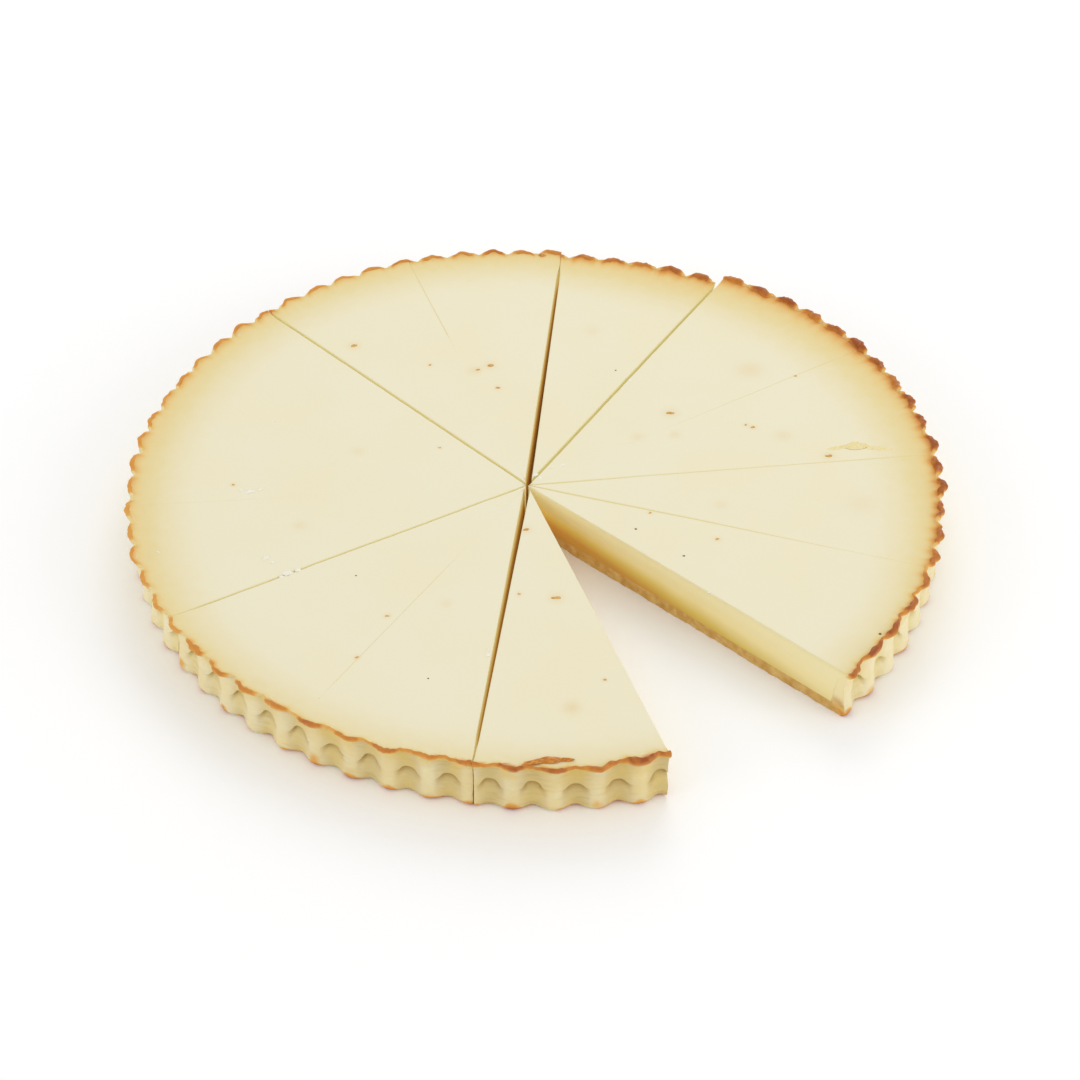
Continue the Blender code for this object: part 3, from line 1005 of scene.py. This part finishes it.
def crumble(skin, rays):
    """Pushes points near an open cut face into it, by coarse and fine unevenness times a depth that
    is largest in the base and nothing at the tip."""
    for cut, direction, inward in ((rays.number, rays.first, 1), (rays.number + 1, rays.last, -1)):
        if cut in HEALED:
            continue
        across = np.append(unit(direction + inward * math.pi / 2), 0.0)
        apart = (skin.xyz - CENTRE_SHIFT - np.append(rays.tip, 0.0)) @ across
        near = np.clip(1 - np.abs(apart) / CRUMB_REACH, 0, 1)
        coarse, fine = rough("coarse crumb", skin.xyz, 7.0 * MM), rough("fine crumb", skin.xyz, 3.2 * MM)
        crumbs = np.clip(0.5 + 0.40 * coarse + 0.20 * fine, 0, 1.2)
        amount = CRUMB_DEPTH * (0.12 + 0.88 * smooth(*CRUMB_HEIGHTS, skin.xyz[:, 2]))
        amount = amount * smooth(*CRUMB_FREE, np.linalg.norm(skin.xyz[:, :2], axis=1))
        skin.xyz = skin.xyz + (near * amount * crumbs)[:, None] * across
    skin.xyz[:, 2] = np.clip(skin.xyz[:, 2], 0, HIGHEST)
    return skin


print("crust 1 has", len(pastry_skin(0).xyz), "vertices")

# %% [markdown]
# ## Finishes written as sums
#
# A finish is a network of nodes, but it reads better as arithmetic. One small class
# wraps a socket: adding, subtracting and multiplying it makes the Math node for that,
# and its one method makes any other node. Colours go through Mix nodes, because a Math
# node would turn them grey.

# %% Wire: a socket that can be reckoned with
class Wire:
    """A node's output socket, on which sums can be written."""

    def __init__(self, tree, socket=None):
        self.tree, self.socket = tree, socket

    def node(self, kind, settings, inputs, output=0):
        """Any node: first its settings, a ramp's stops too, then its inputs by name or number."""
        made = self.tree.nodes.new(kind)
        for name, value in settings.items():
            if name == "stops":
                set_stops(made.color_ramp, value)
            else:
                setattr(made, name, value)
        for name, value in inputs.items():
            if isinstance(value, Wire):
                self.tree.links.new(value.socket, made.inputs[name])
            else:
                made.inputs[name].default_value = value
        return Wire(self.tree, made.outputs[output])

    def step(self, low, high):
        """A smooth step of this value from low to high."""
        return self.node("ShaderNodeMapRange", {"interpolation_type": "SMOOTHSTEP"},
                         {"Value": self, "From Min": low, "From Max": high})

    def mix(self, one, other):
        """A colour between two, by this value."""
        return self.node("ShaderNodeMix", {"data_type": "RGBA"}, {0: self, 6: one, 7: other}, 2)

    def ramp(self, *stops):
        """A colour ramp read at this value; each stop is a place and a colour."""
        return self.node("ShaderNodeValToRGB", {"stops": stops}, {0: self})


def set_stops(band, stops):
    """Gives a colour ramp its stops."""
    while len(band.elements) < len(stops):
        band.elements.new(1.0)
    for element, (place, colour) in zip(band.elements, stops):
        element.position = place
        element.color = colour


def sum_of(operation, turned):
    """The operator for a Math node, with its two sides turned round for a number on the left."""
    def operator(self, other):
        sides = {0: other, 1: self} if turned else {0: self, 1: other}
        return self.node("ShaderNodeMath", {"operation": operation}, sides)
    return operator


for sign, operation in (("add", "ADD"), ("sub", "SUBTRACT"), ("mul", "MULTIPLY")):
    setattr(Wire, f"__{sign}__", sum_of(operation, False))
    setattr(Wire, f"__r{sign}__", sum_of(operation, True))
print("signs that a wire knows: + - *")


# %% Helpers for finishes
def finish(name, **fixed):
    """A material with a Principled shader, its constants, and the wire to start its sums from."""
    material = bpy.data.materials.new(name)
    material.use_nodes = True
    material.cycles.emission_sampling = "NONE"
    shader = material.node_tree.nodes["Principled BSDF"]
    for socket, value in fixed.items():
        shader.inputs[socket.replace("_", " ")].default_value = value
    return material, shader, Wire(material.node_tree)


def attribute(wire, name):
    """The painted value of that name."""
    return wire.node("ShaderNodeAttribute", {"attribute_name": name}, {}, "Fac")


def noise(wire, size, detail=2.0, stretch=(1.0, 1.0, 1.0)):
    """Soft random values of 0 to 1, with spots about `size` across."""
    place = wire.node("ShaderNodeTexCoord", {}, {}, "Object")
    scaled = wire.node("ShaderNodeMapping", {}, {"Vector": place, "Scale": stretch})
    return wire.node("ShaderNodeTexNoise", {}, {"Vector": scaled, "Scale": 1 / size, "Detail": detail})


def bumped(wire, height, distance):
    """A bump of a height, for the shader's Normal."""
    return wire.node("ShaderNodeBump", {}, {"Height": height, "Distance": distance, "Strength": 0.5})


def plug(wire, shader, **links):
    """Joins wires to the shader's sockets."""
    for socket, value in links.items():
        wire.tree.links.new(value.socket, shader.inputs[socket.replace("_", " ")])


GLOW_STRENGTH = 0.80
SHEEN = 0.22
print("glow and sheen:", GLOW_STRENGTH, SHEEN)

# %% [markdown]
# ## Finish of the ricotta cream
#
# Set cream is matt and pale, a warm white with a breath of yellow. Toward the rim it
# turns gold and then brown, which is the painted bake with a little noise so that no
# edge of it is drawn with a compass. The cut face is a deeper cream, and painted shade
# makes it deeper still where it is low and near the middle. The faces of the slots carry
# painted shade too: olive in a narrow slot and brown in a wide one.

# %% Ricotta cream
BLACK = (0.0, 0.0, 0.0, 1.0)
CREAM = (0.805, 0.752, 0.557, 1.0)
CREAM_WARM = (0.805, 0.740, 0.520, 1.0)
STAIN = (0.74, 0.57, 0.28, 1.0)
GROOVE_TINT = (0.73, 0.62, 0.27, 1.0)
SLOT_SHADE_OLIVE = (0.72, 0.68, 0.37, 1.0)
CUT_CREAM = (0.82, 0.73, 0.42, 1.0)
CUT_YELLOW = (0.80, 0.68, 0.34, 1.0)
CUT_SHADE_GOLD = (0.66, 0.49, 0.11, 1.0)
CUT_SHADE_BROWN = (0.58, 0.31, 0.060, 1.0)
PALE_GOLD = (0.765, 0.645, 0.335, 1.0)
DEEP_GOLD = (0.755, 0.565, 0.23, 1.0)
GOLD = (0.72, 0.42, 0.12, 1.0)
ORANGE_BROWN = (0.66, 0.295, 0.055, 1.0)
RED_BROWN = (0.50, 0.170, 0.028, 1.0)
DARK_BROWN = (0.32, 0.080, 0.016, 1.0)
PIT_DEPTH = 0.12 * MM

cream, shader, w = finish("ricotta_cream", Emission_Strength=GLOW_STRENGTH, Specular_IOR_Level=SHEEN)
bake, cut_depth, groove, out, glow, stain = (attribute(w, name) for name in FILLING_PAINTS)
uneven_bake = bake * (0.72 + 0.56 * noise(w, 4 * MM, 3.0))
top = noise(w, 30 * MM, 3.0).step(0.35, 0.75).mix(CREAM, CREAM_WARM)
top = stain.mix(top, STAIN)
browned = uneven_bake.ramp((0.0, CREAM), (0.10, PALE_GOLD), (0.22, DEEP_GOLD), (0.38, GOLD),
                           (0.55, ORANGE_BROWN), (0.80, RED_BROWN), (1.0, DARK_BROWN))
top = uneven_bake.step(0.0, 0.045).mix(top, browned)
# Painted shade on the cut faces: gold to brown lower down and nearer the tip, olive on narrow slots.
depth = cut_depth * (1.35 - 0.85 * out) + 0.12 * (noise(w, 12 * MM, 2.0) - 0.5)
face = depth.ramp((0.18, CUT_CREAM), (0.44, CUT_YELLOW), (0.74, CUT_SHADE_GOLD), (1.0, CUT_SHADE_BROWN))
face = out.step(1.0, 1.5).mix(face, SLOT_SHADE_OLIVE)
colour = cut_depth.step(0.0, 0.10).mix(top, face)
colour = (groove * 0.55).mix(colour, GROOVE_TINT)
pits = noise(w, 2.2 * MM, 2.0) + 0.4 * noise(w, 1.5 * MM, 3.0)
# The emission is a painted glow, for light that came through the cream into the cut faces.
plug(w, shader, Base_Color=colour, Emission_Color=glow.mix(BLACK, face), Normal=bumped(w, pits, PIT_DEPTH),
     Roughness=0.60 - 0.22 * uneven_bake.step(0.35, 0.7))
print("cream nodes:", len(w.tree.nodes))

# %% [markdown]
# ## Finish of the shortcrust
#
# Under its browned lip the crust stays pale: a yellow cream on the crests, with a painted
# highlight low on some of them, and an olive gold in the recesses that is partly its own
# tone and partly painted shade. Below each ledge a pocket of painted shade darkens it
# further. The left and right walls are paler, partly in their own tone and partly as
# painted light. Thin level layers show where the dough was laid. The cut crumb is tan
# and speckled. The layers come from noise stretched flat, which is cheap and always
# runs level round the cake.

# %% Shortcrust
CRUST_CREST = (0.66, 0.545, 0.30, 1.0)
CRUST_PALE = (0.83, 0.755, 0.52, 1.0)
RECESS_TONE_AND_SHADE = (0.59, 0.455, 0.19, 1.0)
PALE_RECESS_TONE_AND_SHADE = (0.77, 0.665, 0.36, 1.0)
LEDGE_SHADE = (0.46, 0.29, 0.075, 1.0)
PALE_LEDGE_SHADE = (0.57, 0.44, 0.14, 1.0)
CRUST_YELLOW = (0.74, 0.53, 0.14, 1.0)
CREST_HIGHLIGHT = (0.80, 0.70, 0.41, 1.0)
LAYER_TINT = (0.52, 0.39, 0.15, 1.0)
END_CREAM = (0.82, 0.71, 0.40, 1.0)
CRUMB_TAN = (0.58, 0.35, 0.10, 1.0)
CRUMB_PALE = (0.68, 0.47, 0.18, 1.0)
CRUMB_DARK = (0.50, 0.27, 0.07, 1.0)
LAYER_FLAT = (1.0, 1.0, 6.0)
GRAIN_DEPTH = 0.4 * MM

crust, shader, w = finish("shortcrust", Emission_Strength=GLOW_STRENGTH, Specular_IOR_Level=SHEEN)
bake, hollow, shade, layer, upper, pale, crumb, end, glow = (attribute(w, name) for name in PASTRY_PAINTS)
fibres = noise(w, 5 * MM, 3.0, LAYER_FLAT)
# Olive gold in the recesses: partly the dough's own tone, partly painted shade.
wall = (hollow * (0.5 + 0.9 * fibres)).step(0.15, 1.0)
# Paler on the left, right and back: partly their own tone, partly painted light.
wall = wall.mix(pale.mix(CRUST_CREST, CRUST_PALE), pale.mix(RECESS_TONE_AND_SHADE, PALE_RECESS_TONE_AND_SHADE))
# Painted highlight: a paler cream on some crests of the lower wall.
bright = (1.0 - hollow.step(0.02, 0.45)) * (1.0 - 0.8 * upper) * (1.4 * noise(w, 9 * MM, 2.0) - 0.15)
wall = bright.mix(wall, CREST_HIGHLIGHT)
lines = layer * 0.5 + fibres * 0.5
faint = noise(w, 13 * MM, 2.0).step(0.35, 0.65)
lined = (1.0 - lines.step(0.30, 0.50)) * faint * (0.55 - 0.20 * pale) * (0.25 + 0.75 * hollow)
wall = lined.mix(wall, LAYER_TINT)
yellow = noise(w, 8 * MM, 2.0).step(0.38, 0.64) * (0.30 + 0.62 * upper) * (1.0 - 0.5 * pale)
wall = yellow.mix(wall, CRUST_YELLOW)
# Painted shade under each ledge, paler on the pale sides.
wall = shade.mix(wall, pale.mix(LEDGE_SHADE, PALE_LEDGE_SHADE))
wall = end.mix(wall, END_CREAM)
inside = noise(w, 2.8 * MM, 3.0).ramp((0.25, CRUMB_DARK), (0.45, CRUMB_TAN), (0.70, CRUMB_PALE))
wall = crumb.mix(wall, inside)
uneven_bake = bake * (0.55 + 0.9 * noise(w, 2.5 * MM, 3.0))
browned = uneven_bake.ramp((0.0, CRUST_CREST), (0.15, GOLD), (0.38, ORANGE_BROWN), (0.68, RED_BROWN),
                           (1.0, DARK_BROWN))
colour = uneven_bake.step(0.03, 0.22).mix(wall, browned)
relief = lines * 0.6 + noise(w, 1.4 * MM, 3.0) * 0.3
grain = bumped(w, relief, GRAIN_DEPTH)
# The emission is a weaker painted glow on the crust's cut faces.
plug(w, shader, Base_Color=colour, Emission_Color=glow.mix(BLACK, inside), Normal=grain,
     Roughness=0.70 - 0.38 * uneven_bake.step(0.40, 0.75))
print("shortcrust nodes:", len(w.tree.nodes))

# %% [markdown]
# ## Thirteen portions
#
# Every portion is made from the same functions. Each piece stands for its CAD solid and
# rides on the cake's one body. Edges that bend more than an angle stay sharp, which is
# smaller for the crisp crust.

# %% Build the portions
KINDS = (
    ("filling", filling_skin, cream, "ricotta_cream", 50.0),
    ("pastry", pastry_skin, crust, "shortcrust", 38.0),
)
triangles = 0
for number in range(LAST_CUT):
    label = f"{number + 1:02d}"
    for kind, skin_of, material, slot, sharp in KINDS:
        piece = skin_of(number).build(f"{kind}_skin_{label}", material, sharp)
        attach(piece, "root")
        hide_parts(f"{kind}_{label}")
        triangles += triangle_count(piece)
print("triangles in the portions:", triangles)

# %% [markdown]
# ## Flecks, curls and crumbs
#
# Baked cream is never spotless. Browned flecks of crust and dots of burnt sugar lie on it,
# the knife drags up white bits of cream along its cuts, and near the rim it has lifted a
# yellow curl and a brown one. Each kind is one piece of small lumps, pressed a little
# into the top. A lump is a ball squashed to a lens, with its surface pushed in and out.
# The tables read as the one of brown flecks does.

# %% Places of the small things
WHITE_BITS = (
    (-98, -2, 3.2, 1.6, 10), (-94.5, -0.6, 2.2, 1.2, 40), (-101, -1.2, 1.6, 1, 0),
    (-90.2, -36.8, 2.6, 1.6, 20), (-88.2, -39, 1.8, 1.2, 0), (-82.5, -44.6, 4, 2.2, 10),
    (-79.5, -43, 2.4, 1.6, 30), (-84.5, -46.4, 1.8, 1, 0), (-126.5, -33.4, 1.4, 0.7, 150),
    (-92, 37.3, 1.1, 0.8, 0), (-16.2, -85.1, 2, 1.4, 60), (-15.9, -82.6, 1.2, 1, 0),
    (-0.8, 6.8, 2.4, 1.5, 20), (1, 4.9, 1.8, 1.1, 120), (5, 11, 2, 0.8, 35), (8.5, 12.2, 2.8, 0.8, 20),
    (33, 60.2, 1.6, 1, 60), (20.4, 44, 1, 0.7, 0), (56, -55, 1, 0.7, 0), (-46, -20, 0.9, 0.7, 0),
)
DARK_DOTS = (
    (32.9, -22.5, 0.8, 0.7, 0), (48.5, -36.6, 0.8, 0.7, 0), (110.2, -75.8, 0.9, 0.8, 0),
    (-60, -46, 0.6, 0.5, 0), (-35, -96, 0.6, 0.5, 0), (28, 66, 0.7, 0.5, 0),
)
YELLOW_CURLS = ((110.4, 22, 8, 4, 4), (104.5, 20.8, 9, 2.2, 12), (117.5, 20.6, 12, 2, -8))
BROWN_CURLS = (
    (3.2, -133.9, 8, 3, 3), (8.2, -133.6, 6, 1.7, 0), (-1.8, -135.2, 6.5, 2.2, 14), (2, 136.9, 3.2, 2, -10),
)
print("white bits:", len(WHITE_BITS), "dark dots:", len(DARK_DOTS))

# %% Lumps
LUMP_ROWS = 7
LUMP_COLUMNS = 14
LUMP_SHARP = 25.0
LIP_INSIDE = 1.0 * MM
LIP_LEVEL = 20.4 * MM


def level_at(points):
    """The cream's level, with its climb to the rim, at some places."""
    from_lip = RIM_RADIUS - LIP_INSIDE - np.linalg.norm(points - CENTRE_SHIFT, axis=-1)
    return top_height(points) + (LIP_LEVEL - FILLING_HEIGHT) * climb(from_lip)


def lumps(name, places, thick, material):
    """Uneven lenses at some places, sunk to the middle: a ball whose height is squared, keeping its
    sign, and is a share of the width."""
    x, y, long, wide, way = np.array(places).T[:, :, None, None]
    up = np.linspace(-math.pi / 2, math.pi / 2, LUMP_ROWS)[:, None]
    turn = np.linspace(0, math.tau, LUMP_COLUMNS, endpoint=False)
    sides = np.broadcast_arrays(np.cos(up) * np.cos(turn), np.cos(up) * np.sin(turn), np.sin(up))
    ball = np.stack(sides, axis=-1)
    own = np.arange(len(places))[:, None, None, None] * 7.0
    ball = ball * (1 + 0.22 * rough(name, ball + own, 1.3))[..., None]
    ahead, aside, high = ball[..., 0] * long / 2, ball[..., 1] * wide / 2, ball[..., 2]
    way = np.radians(way)
    lens = np.stack((x + ahead * np.cos(way) - aside * np.sin(way),
                     y + ahead * np.sin(way) + aside * np.cos(way),
                     (high * np.abs(high) * 0.5 + 0.03) * wide * thick), axis=-1) * MM
    ground = level_at(np.stack((x, y, 0 * x), axis=-1) * MM)
    skin = Skin()
    for lump, low in zip(lens, ground):
        skin.grid(lump + (0, 0, 1) * low[..., None], closed=True)
    piece = skin.weld().build(name, material, LUMP_SHARP)
    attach(piece, "root")
    print(name, "has", triangle_count(piece), "triangles")


# %% Flecks: their finishes and pieces
FLECK_BROWN = (0.56, 0.28, 0.05, 1.0)
FLECK_TAN = (0.70, 0.44, 0.13, 1.0)
BIT_WHITE = (0.83, 0.79, 0.66, 1.0)
BIT_LIGHT = (0.86, 0.84, 0.75, 1.0)
DOT_DARK = (0.10, 0.05, 0.02, 1.0)
DOT_BROWN = (0.26, 0.15, 0.05, 1.0)
CURL_YELLOW = (0.77, 0.63, 0.26, 1.0)
CURL_CREAM = (0.79, 0.70, 0.42, 1.0)
# Each kind: its piece, places, thickness as a share of the width, finish, roughness and two colours.
SMALL_THINGS = (
    ("brown_flecks", BROWN_FLECKS, 0.32, "fleck_brown", 0.6, FLECK_BROWN, FLECK_TAN),
    ("white_bits", WHITE_BITS, 0.60, "fleck_white", 0.6, BIT_WHITE, BIT_LIGHT),
    ("dark_dots", DARK_DOTS, 0.60, "fleck_dark", 0.5, DOT_DARK, DOT_BROWN),
    ("yellow_curls", YELLOW_CURLS, 0.12, "curl_yellow", 0.5, CURL_YELLOW, CURL_CREAM),
    ("brown_curls", BROWN_CURLS, 0.80, "curl_brown", 0.4, RED_BROWN, ORANGE_BROWN),
)

for name, places, thick, label, roughness, one, other in SMALL_THINGS:
    material, shader, w = finish(label, Roughness=roughness, Specular_IOR_Level=SHEEN)
    plug(w, shader, Base_Color=noise(w, 0.9 * MM, 2.0).step(0.35, 0.65).mix(one, other))
    lumps(name, places, thick, material)

# %% [markdown]
# ## Finish of the floor
#
# The floor is plain pale studio paper. A trace of wide, faint noise keeps it from being
# one flat colour.

# %% White floor
PAPER = (0.965, 0.965, 0.965, 1.0)
PAPER_LIGHT = (0.975, 0.975, 0.975, 1.0)

paper, shader, w = finish("studio_floor", Roughness=0.9)
plug(w, shader, Base_Color=noise(w, 0.8, 1.0).mix(PAPER, PAPER_LIGHT))
floor.data.materials.append(paper)
print("floor material:", paper.name)
